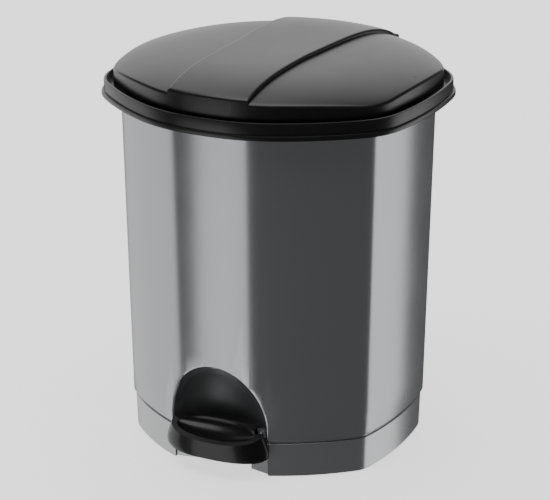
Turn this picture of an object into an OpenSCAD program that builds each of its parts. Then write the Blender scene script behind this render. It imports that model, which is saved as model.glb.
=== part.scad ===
// Step-on waste bin: faceted tapered body, base band, overhanging black rim, domed lid
// with a raised centre band, and a foot pedal that lifts the lid through a lever and a rod.
// +Z is up, the pedal faces -Y, and the origin is on the floor under the body's middle.

/* [Body] */
// Width of the body just under the rim
body_w = 282; // [240:1:340]
// Depth of the body just under the rim, front to back
body_d = 275; // [240:1:330]
// Width of the front and back panels
front_panel_w = 82; // [66:1:100]
// Front-to-back length of each side panel
side_panel_l = 139; // [115:1:168]
// How far the front and back panels bow outward
front_bulge = 4; // [2:0.5:9]
// How far the four diagonal panels bow outward
diagonal_bulge = 6.3; // [3:0.1:10]
// How far the side panels bow outward
side_bulge = 7.3; // [3:0.1:12]
// Height of the rim's lower edge above the floor
rim_z = 341; // [284:1:410]
// Inward draft of the body wall from the rim down to the base band
body_draft = 7; // [2:0.5:12]
// Thickness of the body and base walls
wall = 2.5; // [2:0.1:3.2]
// Height of the floor plate's underside above the ground
floor_z = 64; // [62:0.5:72]

/* [Base band] */
// Height of the base band
base_h = 38; // [34:0.5:42]
// How far the base band is set in from the body above it
base_step = 2; // [1:0.5:4]
// Inward draft of the base band from its top to the ground
base_draft = 1.2; // [0.5:0.1:3]
// Gap between the ground and the band's lower edge
base_lift = 0.8; // [0.4:0.1:2]
// Width of the inner flange that carries the feet
flange_w = 18; // [15:1:24]
// Diameter of a rubber foot
foot_d = 16; // [10:1:17]
// Diameter of the posts that join the base to the body
post_d = 12; // [10:0.5:14]
// Diameter of the assembly screws
screw_d = 3.3; // [2.5:0.1:4]

/* [Pedal niche] */
// Width of the scooped niche at its foot
niche_w = 100; // [90:1:104]
// Height of the niche's arch above the ground
niche_top = 107; // [95:1:125]
// Height at which the niche is widest and deepest
niche_mid_z = 45; // [42:1:50]
// Depth of the niche behind the front panel
niche_depth = 30; // [24:1:34]
// Width of the notch in the base band for the pedal's neck
notch_w = 56; // [50:1:60]

/* [Rim] */
// How far the rim stands out from the body on each side
rim_out = 19; // [16:0.5:24]
// Height of the rim's lower lip
lip_h = 5; // [3:0.5:7]
// Height of the rim's upper band
band_h = 11.5; // [10:0.5:15]
// How far the upper band is set in from the lip
lip_step = 2.2; // [1:0.1:4]
// Height of the rim's floor above the rim's lower edge
rim_floor = 9; // [8.5:0.5:10]

/* [Lid] */
// Gap from the rim's outside to the lid's skirt
skirt_in = 11; // [9:0.5:13]
// Height of the dome's crown above the rim's lower edge
crown_h = 44.5; // [40:0.5:56]
// Fall of the dome from its crown to its reference radius
dome_fall = 14; // [8:0.5:18]
// Distance outside the body at which the dome has fallen by that amount
dome_out = 7.75; // [0:0.25:25]
// How far the centre band stands above the dome
ridge_h = 4; // [2:0.5:6]
// Width of the centre band at the front
ridge_front_w = 83; // [70:1:90]
// Width of the centre band at the back
ridge_back_w = 104; // [98:1:112]
// Height of the hood over the hinge above the rim's lower edge
hood_h = 27; // [24:0.5:42]
// Angle through which the lid opens
lid_open = 75; // [60:1:80]

/* [Hinge] */
// Distance of the hinge axis behind the body's back panel
hinge_out = 8.5; // [8:0.5:11]
// Height of the hinge axis above the rim's lower edge
hinge_up = 12; // [11:0.5:13]
// Diameter of the hinge pin
hinge_pin_d = 5; // [4:0.5:6]
// Outside diameter of the hinge barrels
barrel_d = 12; // [10:0.5:12]
// Length of the hinge pin
hinge_pin_l = 94; // [90:1:96]

/* [Pedal and lever] */
// Width of the pedal
pedal_w = 108; // [96:1:116]
// Reach of the pedal in front of the body's front panel
pedal_out = 8.5; // [5:0.5:14]
// Height of the pedal's lower edge above the ground
pedal_z = 19; // [18:0.5:22]
// Height of the pedal's back edge above the ground
pedal_back_z = 50; // [44:1:52]
// Height of the pedal's front edge above the ground
pedal_front_z = 36; // [32:1:40]
// How much narrower the pedal's top is than its foot, on each side
pedal_flare = 8; // [3:0.5:12]
// Place of the pedal's axle, as a share of the body's half depth in front of the middle
axle_share = 0.422; // [0.38:0.002:0.46]
// Height of the pedal's axle above the ground
axle_z = 24; // [23:0.5:26]
// Diameter of the pedal's axle
axle_d = 6; // [5:0.5:7]
// Width of the pedal's lever
lever_w = 24; // [20:1:26]
// Thickness of the pedal's lever
lever_t = 4; // [3:0.5:4]
// Distance of the lever's rear end in front of the body's back panel
lever_in = 23.5; // [21.5:0.5:27.5]

/* [Push rod] */
// Travel of the push rod as the pedal is pressed
rod_travel = 31.35; // [27:0.05:31.35]
// Width of the push rod
rod_w = 12; // [10:0.5:14]
// Thickness of the push rod
rod_t = 3; // [2:0.5:3.5]
// Diameter of the cross pin at the rod's top
cross_pin_d = 5; // [4:0.5:6]
// Thickness of the lid's crank
crank_t = 6; // [5:0.5:6]

/* [Inner bucket] */
// Room between the bucket's rim and the nearest face of the body
bucket_room = 25.5; // [25.5:0.5:40]
// How much the bucket's radius narrows from its rim to its foot
bucket_taper = 20; // [12:1:32]
// Distance of the bucket's rim below the rim's lower edge
bucket_drop = 11.5; // [9:0.5:60]
// Thickness of the bucket's wall
bucket_wall = 2; // [1.6:0.1:2.5]
// Thickness of the bail's wire
bail_d = 4; // [3:0.5:5]
// Angle through which the bail lifts under the closed lid
bail_lift = 8; // [4:1:8]

/* [Fits] */
// Radial clearance of a pin that turns in a bore
run_fit = 0.05; // [0.02:0.01:0.08]
// Gap between pieces that slide past each other
slide_fit = 0.4; // [0.3:0.05:0.6]
// Gap between the lid's skirt and the rim's floor
lid_gap = 1; // [0.6:0.1:1.5]
// Play of the cross pin across the crank's slot
slot_play = 1.6; // [1.5:0.1:2]

/* [Hidden] */

$fn = 64;
far = 500;                       // longer than anything that it cuts
eps = 0.01;
silver = [0.66, 0.67, 0.69];
black = [0.07, 0.07, 0.08];
grey = [0.32, 0.33, 0.35];
steel = [0.74, 0.75, 0.77];
rubber = [0.12, 0.12, 0.12];

half_w = body_w / 2;
half_d = body_d / 2;
axle_y = half_d * axle_share;    // the axle stands this far in front of the origin
lever_rear = half_d - lever_in;
pedal_reach = half_d + pedal_out;
front_corner = [front_panel_w / 2, half_d - front_bulge];
side_corner = [half_w - side_bulge, side_panel_l / 2];

// ---- plan outline: eight bowed panels, symmetric left to right and front to back ----

// Points of a bowed line from a to b; the far end is left out.
function bow(a, b, sag, n) =
    let (along = b - a, side = [along.y, -along.x] / norm(along))
    [for (i = [0:n - 1]) let (t = i / n) a + t * along + side * 4 * sag * t * (1 - t)];

// The outline grown by a distance, measured at the widest point of the sides.
function outline(grow = 0) =
    let (k = 1 + grow / half_w, f = front_corner, s = side_corner)
    k * concat(
        bow([-f.x, -f.y], [f.x, -f.y], front_bulge, 6),
        bow([f.x, -f.y], [s.x, -s.y], diagonal_bulge, 8),
        bow([s.x, -s.y], [s.x, s.y], side_bulge, 12),
        bow([s.x, s.y], [f.x, f.y], diagonal_bulge, 8),
        bow([f.x, f.y], [-f.x, f.y], front_bulge, 6),
        bow([-f.x, f.y], [-s.x, s.y], diagonal_bulge, 8),
        bow([-s.x, s.y], [-s.x, -s.y], side_bulge, 12),
        bow([-s.x, -s.y], [-f.x, -f.y], diagonal_bulge, 8));

// A point on the outline's middle of a diagonal panel, scaled in by a distance.
diagonal_mid = (front_corner + side_corner) / 2
    + [side_corner.y - front_corner.y, front_corner.x - side_corner.x]
      / norm(side_corner - front_corner) * -diagonal_bulge;

module prism(grow, z0, z1) {
    translate([0, 0, z0]) linear_extrude(z1 - z0) polygon(outline(grow));
}

module ring_prism(grow_out, grow_in, z0, z1) {
    difference() {
        prism(grow_out, z0, z1);
        prism(grow_in, z0 - 1, z1 + 1);
    }
}

module drafted(grow_low, grow_high, z0, z1) {
    k0 = 1 + grow_low / half_w;
    k1 = 1 + grow_high / half_w;
    translate([0, 0, z0]) linear_extrude(z1 - z0, scale = k1 / k0) polygon(outline(grow_low));
}

// A box given by its middle in x and its extents in y and z.
module slab(w, y0, y1, z0, z1, x = 0) {
    translate([x - w / 2, y0, z0]) cube([w, y1 - y0, z1 - z0]);
}

// A cylinder along x through a point of the side view.
module x_rod(d, x0, x1, y, z) {
    translate([x0, y, z]) rotate([0, 90, 0]) cylinder(d = d, h = x1 - x0);
}

// ---- body ----

shell_top = rim_z + rim_floor - wall - 0.5;
body_slope = body_draft / (rim_z - base_h);
function body_grow(z) = -body_slope * (rim_z - z);
floor_top = floor_z + wall;
hinge_y = half_d + hinge_out;
hinge_z = rim_z + hinge_up;

// The crank's reach follows from the rod's travel.
crank_reach = rod_travel / (2 * tan(lid_open / 2));
rod_y = hinge_y - crank_reach;
cross_pin_z = hinge_z - crank_reach * tan(lid_open / 2);
slot_near = crank_reach;
slot_far = crank_reach / cos(lid_open / 2);
slot_w = cross_pin_d + 2 * slot_play;
crank_rim = 3;                   // material around the slot
crank_w = slot_w + 2 * crank_rim;

foot_w = 16;                     // width of the rod's foot
foot_l = 10;                     // depth of the rod's foot
lever_boss_d = 10;
foot_z = axle_z + lever_boss_d / 2 + slide_fit;
foot_h = 13;

post_in = 24;                    // posts' distance in from the base band
post_y = 40;
base_grow_top = -body_draft - base_step;
base_grow_low = base_grow_top - base_draft;
post_x = half_w + base_grow_top - post_in + wall;
post_spots = [for (sx = [-1, 1], sy = [-1, 1]) [sx * post_x, sy * post_y]];

module body_cavity() {
    drafted(body_grow(floor_top) - wall, body_grow(shell_top + 1) - wall, floor_top, shell_top + 1);
}

// The niche: an ellipsoid above its widest level, an elliptic shaft below it.
niche_y = -half_d * (1 + body_grow(niche_mid_z) / half_w) + 5;
module niche(extra = 0) {
    rx = niche_w / 2 + extra;
    ry = niche_depth + extra;
    rz = niche_top - niche_mid_z + extra;
    translate([0, niche_y, niche_mid_z]) {
        scale([rx, ry, rz]) sphere(1, $fn = 40);
        translate([0, 0, -far]) scale([rx, ry, 1]) cylinder(r = 1, h = far, $fn = 40);
    }
}

module outer_shell() {
    color(silver) difference() {
        union() {
            difference() {
                drafted(body_grow(base_h), body_grow(shell_top), base_h, shell_top);
                body_cavity();
                drafted(body_grow(base_h - 1) - wall, body_grow(floor_z) - wall, base_h - 1, floor_z);
            }
            intersection() {
                niche(wall);
                drafted(body_grow(base_h) - wall / 2, body_grow(shell_top) - wall / 2, base_h, shell_top);
            }
            for (p = post_spots) translate([p.x, p.y, base_h]) cylinder(d = post_d, h = floor_z - base_h + eps);
        }
        niche();
        for (p = post_spots) translate([p.x, p.y, base_h - 1]) cylinder(d = screw_d + 0.1, h = 20);
        slab(foot_w + 4, lever_rear - foot_l / 2 - 3, lever_rear + foot_l / 2 + 2, floor_z - 1, floor_top + 1);
        slab(crank_t + 4, hinge_y - far / 4, hinge_y, cross_pin_z - 6, far);
    }
}

// ---- base band ----

base_front_y = -front_corner.y * (1 + base_grow_top / half_w);
shelf_y = -half_d * (1 + base_grow_top / half_w) + 18;

// Plan of the niche through the base band: a shallow recess with a deeper notch for the pedal's neck.
module base_niche(extra = 0) {
    n = notch_w / 2 + extra;
    back = shelf_y + extra;
    notch_back = shelf_y + 22 + extra;
    translate([0, 0, -1]) linear_extrude(base_h + 2) polygon([
        [-niche_w / 2 - extra, back - 5], [-n, back], [-n * 0.86, back + 12], [-n * 0.5, notch_back],
        [n * 0.5, notch_back], [n * 0.86, back + 12], [n, back], [niche_w / 2 + extra, back - 5],
        [niche_w / 2 + extra, -far], [-niche_w / 2 - extra, -far]]);
}

flange_z = 3;
bar_w = 24;                      // front-to-back width of the crossbar
bar_z = 4;
bar_h = 6;
module base_ring() {
    top = base_h - 0.1;
    color(silver) difference() {
        union() {
            difference() {
                drafted(base_grow_low, base_grow_top, base_lift, top);
                difference() {
                    drafted(base_grow_low - wall, base_grow_top - wall, base_lift - eps, top + eps);
                    base_niche(wall);
                }
            }
            difference() {
                ring_prism(base_grow_low - wall / 2, base_grow_low - wall - flange_w, flange_z, flange_z + wall);
                base_niche();
            }
            intersection() {
                slab(far, -axle_y - bar_w / 2, -axle_y + bar_w / 2, bar_z, bar_z + bar_h);
                prism(base_grow_low - wall / 2, 0, base_h);
            }
            for (p = post_spots) translate([p.x, p.y, flange_z]) cylinder(d = post_d, h = top - flange_z);
        }
        base_niche();
        slab(lever_w + 6, shelf_y, -axle_y - bar_w / 2 - 2, axle_z - lever_t / 2 - 10, base_h + 1);
        for (p = post_spots) translate([p.x, p.y, 0]) {
            cylinder(d = screw_d + 0.6, h = base_h + 1);
            cylinder(d = head_d + 0.6, h = flange_z + head_sink);
        }
        for (sx = [-1, 1]) translate([sx * ear_x, -axle_y, bar_z - 1]) cylinder(d = screw_d + 0.1, h = bar_h + 2);
    }
}

head_d = 7;
head_h = 2.4;
head_sink = 6;
module screw(length) {           // pan-head screw, shank up from the origin and head below it
    translate([0, 0, -head_h]) cylinder(d = head_d, h = head_h);
    cylinder(d = screw_d, h = length);
}

module base_screws() {
    color(steel) for (p = post_spots) translate([p.x, p.y, flange_z + head_sink]) screw(base_h - flange_z + 8);
}

foot_centre = diagonal_mid * (1 + (base_grow_low - wall - foot_d / 2 - 1.5) / half_w);
module rubber_feet() {
    color(rubber) for (sx = [-1, 1], sy = [-1, 1])
        translate([sx * foot_centre.x, sy * foot_centre.y, 0]) cylinder(d = foot_d, h = flange_z);
}

// ---- pedal bearing ----

ear_t = 2.5;
ear_gap = lever_w + 2 + 2 * slide_fit;
ear_r = 7;
ear_x = ear_gap / 2 + ear_t + 7; // place of the bracket's screws
plate_z = bar_z + bar_h;
module pedal_bracket() {
    color(steel) difference() {
        union() {
            slab(2 * ear_x + 12, -axle_y - 9, -axle_y + 9, plate_z, plate_z + ear_t);
            for (sx = [-1, 1]) {
                x0 = sx > 0 ? ear_gap / 2 : -ear_gap / 2 - ear_t;
                x_rod(2 * ear_r, x0, x0 + ear_t, -axle_y, axle_z);
                slab(ear_t, -axle_y - ear_r, -axle_y + ear_r, plate_z, axle_z, x0 + ear_t / 2);
            }
        }
        x_rod(axle_d + 2 * run_fit, -far / 2, far / 2, -axle_y, axle_z);
        for (sx = [-1, 1]) translate([sx * ear_x, -axle_y, plate_z - 1]) cylinder(d = screw_d + 0.2, h = ear_t + 2);
    }
}

module bracket_screws() {
    color(steel) for (sx = [-1, 1]) translate([sx * ear_x, -axle_y, plate_z + ear_t]) mirror([0, 0, 1]) screw(8);
}

axle_l = ear_gap + 2 * ear_t + 8;
groove_x = axle_l / 2 - 3;       // inner face of each clip
module pedal_axle() {
    color(steel) difference() {
        x_rod(axle_d, -axle_l / 2, axle_l / 2, -axle_y, axle_z);
        for (sx = [-1, 1]) difference() {
            x_rod(axle_d + 1, sx > 0 ? groove_x : -groove_x - 1, sx > 0 ? groove_x + 1 : -groove_x, -axle_y, axle_z);
            x_rod(axle_d - 1.2, -axle_l, axle_l, -axle_y, axle_z);
        }
    }
}

module axle_clips() {
    color(steel) for (sx = [-1, 1]) difference() {
        x_rod(axle_d + 5, sx > 0 ? groove_x + 0.1 : -groove_x - 0.9, sx > 0 ? groove_x + 0.9 : -groove_x - 0.1,
            -axle_y, axle_z);
        x_rod(axle_d - 1.1, -axle_l, axle_l, -axle_y, axle_z);
        slab(far, -axle_y - 1.6, -axle_y + 1.6, axle_z - axle_d, axle_z);
    }
}

// ---- rim ----

inner_grow = -2 * wall;
rim_wall = 2.5;
rim_top = rim_z + lip_h + band_h;
plate_low = rim_z + rim_floor - wall;
hinge_gap_w = ridge_back_w + 4;
ear_w = 6;
collar_ear_x = hinge_pin_l / 2 - ear_w - 1;
module collar_ring() {
    band_grow = rim_out - lip_step;
    skirt_grow = -wall - slide_fit;
    color(black) difference() {
        union() {
            difference() {
                union() {
                    prism(rim_out, rim_z, rim_z + lip_h);
                    prism(band_grow, rim_z + lip_h - eps, rim_top);
                    prism(skirt_grow, rim_z - 8, rim_z + lip_h);
                }
                prism(inner_grow, rim_z - 9, rim_top + 1);
                ring_prism(band_grow - rim_wall, skirt_grow, rim_z - 9, plate_low);
                prism(band_grow - rim_wall, rim_z + rim_floor, rim_top + 1);
                slab(hinge_gap_w, half_d + 1.5, far, 0, far);
            }
            for (sx = [-1, 1]) {
                x0 = sx > 0 ? collar_ear_x : -collar_ear_x - ear_w;
                x_rod(barrel_d, x0, x0 + ear_w, hinge_y, hinge_z);
                slab(ear_w, half_d - 3, hinge_y, plate_low, hinge_z, x0 + ear_w / 2);
            }
        }
        slab(crank_t + 4, half_d - 20, far, 0, far);
        x_rod(hinge_pin_d + 2 * run_fit, -far / 2, far / 2, hinge_y, hinge_z);
    }
}

module lid_hinge_pin() {
    color(steel) x_rod(hinge_pin_d, -hinge_pin_l / 2, hinge_pin_l / 2, hinge_y, hinge_z);
}

// ---- rod guides ----

guide_h = 8;
guide_low_z = floor_z + 16;
guide_high_z = rim_z - 44;
module rod_guide(y, z) {
    color(grey) difference() {
        intersection() {
            slab(rod_w + 12, y - rod_t / 2 - 3.5, half_d, z, z + guide_h);
            body_cavity();
        }
        slab(rod_w + 2 * slide_fit, y - rod_t / 2 - slide_fit, y + rod_t / 2 + slide_fit, z - 1, z + guide_h + 1);
    }
}
module rod_guide_lower() { rod_guide(lever_rear, guide_low_z); }
module rod_guide_upper() { rod_guide(rod_y, guide_high_z); }

// ---- inner bucket ----

bucket_z = floor_top;
bucket_top = rim_z - bucket_drop;
bucket_rim_r = min(half_w, half_d) - bucket_room;
bucket_foot_r = bucket_rim_r - bucket_taper;
bail_z = bucket_top - 12;
bail_r = bucket_rim_r + 8;
bail_bore_d = bail_d + 2 * run_fit;
module inner_bucket() {
    r0 = bucket_foot_r;
    r1 = bucket_rim_r;
    t = bucket_wall;
    color(grey) difference() {
        union() {
            rotate_extrude($fn = 96) polygon([
                [0, bucket_z], [r0 - 2, bucket_z], [r0, bucket_z + 2], [r1, bucket_top - 3],
                [r1 + 2, bucket_top - 3], [r1 + 2, bucket_top], [r1 - t, bucket_top],
                [r0 - t, bucket_z + 3], [r0 - t - 2, bucket_z + t], [0, bucket_z + t]]);
            for (sx = [-1, 1]) x_rod(11, sx > 0 ? r1 - 3 : -r1 - 3, sx > 0 ? r1 + 3 : -r1 + 3, 0, bail_z);
        }
        x_rod(bail_bore_d, -far / 2, far / 2, 0, bail_z);
    }
}

module bucket_bail() {
    reach = bail_r - bucket_rim_r + 5;
    color(steel) {
        translate([0, 0, bail_z]) rotate([0, 0, 180]) rotate_extrude(angle = 180, $fn = 96)
            translate([bail_r, 0]) circle(d = bail_d, $fn = 24);
        for (sx = [-1, 1]) x_rod(bail_d, sx > 0 ? bail_r - reach : -bail_r, sx > 0 ? bail_r : -bail_r + reach, 0, bail_z);
    }
}

grip_angle = 42;
grip_d = 8;
module bail_grip() {
    color(grey) translate([0, 0, bail_z]) rotate([0, 0, 270 - grip_angle / 2])
        rotate_extrude(angle = grip_angle, $fn = 96) translate([bail_r, 0]) difference() {
            circle(d = grip_d, $fn = 32);
            circle(d = bail_d + 2 * run_fit, $fn = 24);
        }
}

// ---- lid ----

skirt_grow = rim_out - skirt_in;
lid_z = rim_z + rim_floor + lid_gap;
crown_z = rim_z + crown_h;
hood_back = half_d + 20.5;
lid_wall = 2.5;
dome_r = (half_w + half_d) / 2 + dome_out;
function dome_z(r) = crown_z - dome_fall * pow(r / dome_r, 4.5);

// Solid of revolution under the dome, raised or sunk by a distance.
module dome(raise) {
    reach = half_w + 60;
    rotate_extrude($fn = 96) polygon(concat(
        [[0, rim_z - 20]], [[reach, rim_z - 20]],
        [for (i = [12:-1:0]) let (r = reach * pow(i / 12, 0.6)) [r, max(dome_z(r) + raise, rim_z - 19)]]));
}

module ridge_plan(inset) {
    f = ridge_front_w / 2 - inset;
    b = ridge_back_w / 2 - inset;
    y1 = hood_back - inset;
    polygon([[-f, -far / 2], [f, -far / 2], [f, -25], [b - 1, y1 - 40], [b, y1 - 8], [b - 2.5, y1 - 2.5],
        [b - 8, y1], [8 - b, y1], [2.5 - b, y1 - 2.5], [-b, y1 - 8], [1 - b, y1 - 40], [-f, -25]]);
}

// The centre band, which runs from the skirt's front to the hood over the hinge.
// The dome with the hood's block behind it
module crown(inset, raise) {
    union() {
        dome(raise);
        slab(far, half_d - 10, far, rim_z - 20, rim_z + hood_h - inset);
    }
}
module ridge(inset, raise) {
    intersection() {
        crown(inset, raise);
        translate([0, 0, lid_z - inset]) linear_extrude(far) ridge_plan(inset);
        union() {
            prism(skirt_grow - inset, lid_z - inset, far);
            slab(far, half_d - 40, far, lid_z - inset, far);
        }
    }
}

bumper_d = 7;
bumper_h = 2.4;
bumper_low = rim_z + rim_floor + 0.15;
bumper_spots = [[0, -half_d - 1.5], [half_w + 1.5, 0], [-half_w - 1.5, 0]];
lid_barrel_x = [crank_t / 2 + 5, collar_ear_x - 2];
boss_spots = [for (sx = [-1, 1]) [sx * 14, hinge_y - 18]];
boss_low = hinge_z + 9;
module lid_shell() {
    color(black) difference() {
        union() {
            difference() {
                union() {
                    intersection() {
                        dome(0);
                        prism(skirt_grow, lid_z, far);
                    }
                    ridge(0, ridge_h);
                }
                intersection() {
                    dome(-lid_wall);
                    prism(skirt_grow - lid_wall, lid_z - 1, far);
                }
                ridge(lid_wall, ridge_h - lid_wall);
            }
            for (sx = [-1, 1]) {
                x0 = sx > 0 ? lid_barrel_x[0] : -lid_barrel_x[1];
                w = lid_barrel_x[1] - lid_barrel_x[0];
                x_rod(barrel_d, x0, x0 + w, hinge_y, hinge_z);
                intersection() {
                    slab(w, hinge_y - 3, hinge_y + 3, hinge_z, far, x0 + w / 2);
                    crown(lid_wall / 2, ridge_h - lid_wall / 2);
                }
            }
            intersection() {
                union() {
                    for (p = boss_spots) translate([p.x, p.y, boss_low]) cylinder(d = 9, h = far);
                    for (p = bumper_spots) translate([p.x, p.y, bumper_low + bumper_h]) cylinder(d = 9, h = far);
                }
                dome(ridge_h - lid_wall / 2);
                union() {
                    dome(-lid_wall / 2);
                    linear_extrude(far) ridge_plan(lid_wall / 2);
                }
                prism(skirt_grow - lid_wall / 2, 0, far);
            }
        }
        x_rod(hinge_pin_d + 2 * run_fit, -far / 2, far / 2, hinge_y, hinge_z);
        for (p = boss_spots) translate([p.x, p.y, boss_low - 1]) cylinder(d = screw_d + 0.1, h = 11);
    }
}

// Side-view solid of the crank: a hub on the hinge pin and a slotted arm towards the rod.
module lid_crank() {
    tilt = lid_open / 2;
    flange_t = 2.5;
    color(steel) difference() {
        union() {
            x_rod(barrel_d, -crank_t / 2 - 1, crank_t / 2 + 1, hinge_y, hinge_z);
            translate([-crank_t / 2, hinge_y, hinge_z]) rotate([tilt, 0, 0])
                translate([0, -slot_far - crank_w / 2, -crank_w / 2]) cube([crank_t, slot_far + crank_w / 2 + 1, crank_w]);
            slab(crank_t - 1, hinge_y - 23, hinge_y + 1, hinge_z + 1, boss_low - 1);
            slab(38, hinge_y - 24, hinge_y - 12, boss_low - flange_t, boss_low);
        }
        x_rod(hinge_pin_d + 2 * run_fit, -far / 2, far / 2, hinge_y, hinge_z);
        translate([-far / 2, hinge_y, hinge_z]) rotate([tilt, 0, 0])
            translate([0, -slot_far - slot_w / 2, -slot_w / 2]) cube([far, slot_far - slot_near + slot_w, slot_w]);
        for (p = boss_spots) translate([p.x, p.y, boss_low - flange_t - 1]) cylinder(d = screw_d + 0.2, h = flange_t + 2);
    }
}

module crank_screws() {
    color(steel) for (p = boss_spots) translate([p.x, p.y, boss_low - 2.5]) screw(10);
}

module lid_bumpers() {
    color(rubber) for (p = bumper_spots) translate([p.x, p.y, bumper_low]) cylinder(d = bumper_d, h = bumper_h);
}

// ---- pedal ----

pedal_side_y = pedal_reach - 20; // where the pedal's ends are, in front of the origin
pedal_back_y = -shelf_y + 6;     // back edge of the pedal's wide part
wing_x = niche_w / 2 - 7;        // half width of the part that enters the niche
wing_y = front_corner.y * (1 + body_grow(pedal_back_z) / half_w); // wings stay in front of the body
neck_w = notch_w - 12;
neck_back = -shelf_y - 9;
neck_top = pedal_back_z - 12;
lever_front = pedal_reach - 12;
pad_screws = [for (sx = [-1, 1]) [sx * 6, -pedal_back_y - 8]];
pad_slope = atan((pedal_back_z - pedal_front_z) / (pedal_reach - pedal_back_y));
pad_half = pedal_w / 2;

// Front edge of the pedal at a distance from its middle: a squared-off arch.
function pedal_front(x) =
    -pedal_side_y - (pedal_reach - pedal_side_y) * pow(1 - pow(min(abs(x) / pad_half, 1), 2.6), 0.6);

module pedal_plan() {
    polygon(concat(
        [for (i = [0:24]) let (x = pad_half * sin(-90 + 7.5 * i)) [x, pedal_front(x)]],
        [[pad_half, -wing_y + 3], [wing_x + 2, -wing_y], [wing_x, -pedal_back_y],
         [-wing_x, -pedal_back_y], [-wing_x - 2, -wing_y], [-pad_half, -wing_y + 3]]));
}

// Front view of the pedal: its ends lean in towards the top and are rounded under.
module pedal_ends() {
    w = pad_half;
    side = [[w - 4, pedal_z - 1], [w - 1, pedal_z + 3], [w, pedal_z + 8], [w - pedal_flare / 4, pedal_z + 17],
        [w - pedal_flare * 0.7, pedal_z + 25], [w - pedal_flare, pedal_back_z + 1]];
    rotate([90, 0, 0]) linear_extrude(far)
        polygon(concat(side, [for (i = [len(side) - 1:-1:0]) [-side[i].x, side[i].y]]));
}

module pedal_pad() {
    color(black) difference() {
        union() {
            intersection() {
                translate([0, 0, pedal_z]) linear_extrude(pedal_back_z - pedal_z) pedal_plan();
                pedal_ends();
                translate([0, -pedal_back_y, pedal_back_z]) rotate([pad_slope, 0, 0])
                    translate([-far / 2, -far / 2, -far]) cube([far, far, far]);
            }
            slab(neck_w, -pedal_back_y - 4, -neck_back, pedal_z, neck_top);
        }
        translate([0, -(pedal_reach + pedal_back_y) / 2 + 1, pedal_back_z - 4]) rotate([pad_slope, 0, 0])
            scale([pad_half - pedal_flare - 3, 14, 9]) sphere(1, $fn = 40);
        slab(lever_w + 0.2, -lever_front - slide_fit, far, pedal_z - 1, axle_z + lever_t / 2);
        for (p = pad_screws) translate([p.x, p.y, axle_z]) cylinder(d = screw_d + 0.1, h = 8);
    }
}

module pedal_lever() {
    color(steel) difference() {
        union() {
            slab(lever_w, -lever_front, lever_rear, axle_z - lever_t / 2, axle_z + lever_t / 2);
            x_rod(14, -lever_w / 2 - 1, lever_w / 2 + 1, -axle_y, axle_z);
            x_rod(lever_boss_d, -lever_w / 2, lever_w / 2, lever_rear, axle_z);
        }
        x_rod(axle_d + 2 * run_fit, -far / 2, far / 2, -axle_y, axle_z);
        for (p = pad_screws) translate([p.x, p.y, 0]) cylinder(d = screw_d + 0.2, h = far);
    }
}

module pedal_screws() {
    color(steel) for (p = pad_screws) translate([p.x, p.y, axle_z - lever_t / 2]) screw(9);
}

// ---- push rod ----

rod_low = foot_z + 4;
jog_z = 170;
jog_h = 16;
fork_depth = crank_w / 2 + crank_rim + 8;
tine_t = 2.5;
tine_gap = crank_t + 2 * slide_fit;
fork_w = tine_gap + 2 * tine_t;
tine_d = 2 * cross_pin_d;
module push_rod() {
    h = rod_t / 2;
    fork_low = cross_pin_z - fork_depth;
    color(steel) difference() {
        union() {
            translate([-rod_w / 2, 0, 0]) rotate([90, 0, 90]) linear_extrude(rod_w) polygon([
                [lever_rear - h, rod_low], [lever_rear + h, rod_low], [lever_rear + h, jog_z - h / 2],
                [rod_y + h, jog_z + jog_h - h / 2], [rod_y + h, fork_low], [rod_y - h, fork_low],
                [rod_y - h, jog_z + jog_h + h / 2], [lever_rear - h, jog_z + h / 2]]);
            slab(fork_w, rod_y - h, rod_y + h, fork_low - 4, cross_pin_z);
            x_rod(tine_d, -fork_w / 2, fork_w / 2, rod_y, cross_pin_z);
        }
        slab(tine_gap, rod_y - far / 2, rod_y + far / 2, fork_low, far);
        x_rod(cross_pin_d + 2 * run_fit, -far / 2, far / 2, rod_y, cross_pin_z);
    }
}

module rod_foot() {
    color(grey) difference() {
        slab(foot_w, lever_rear - foot_l / 2, lever_rear + foot_l / 2, foot_z, foot_z + foot_h);
        slab(rod_w + 0.1, lever_rear - rod_t / 2 - 0.05, lever_rear + rod_t / 2 + 0.05, rod_low, far);
    }
}

module rod_cross_pin() {
    color(steel) x_rod(cross_pin_d, -fork_w / 2 - 1, fork_w / 2 + 1, rod_y, cross_pin_z);
}

outer_shell();
base_ring();
pedal_bracket();
pedal_axle();
axle_clips();
bracket_screws();
base_screws();
rubber_feet();
collar_ring();
lid_hinge_pin();
rod_guide_lower();
rod_guide_upper();
inner_bucket();
lid_shell();
lid_crank();
crank_screws();
lid_bumpers();
pedal_pad();
pedal_lever();
pedal_screws();
push_rod();
rod_foot();
rod_cross_pin();
bucket_bail();
bail_grip();
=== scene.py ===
"""Step-on waste bin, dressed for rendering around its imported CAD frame."""

import logging
import math
from collections.abc import Callable
from dataclasses import dataclass, field
from enum import Enum

import bmesh
import bpy
from mathutils import Matrix, Vector

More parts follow.
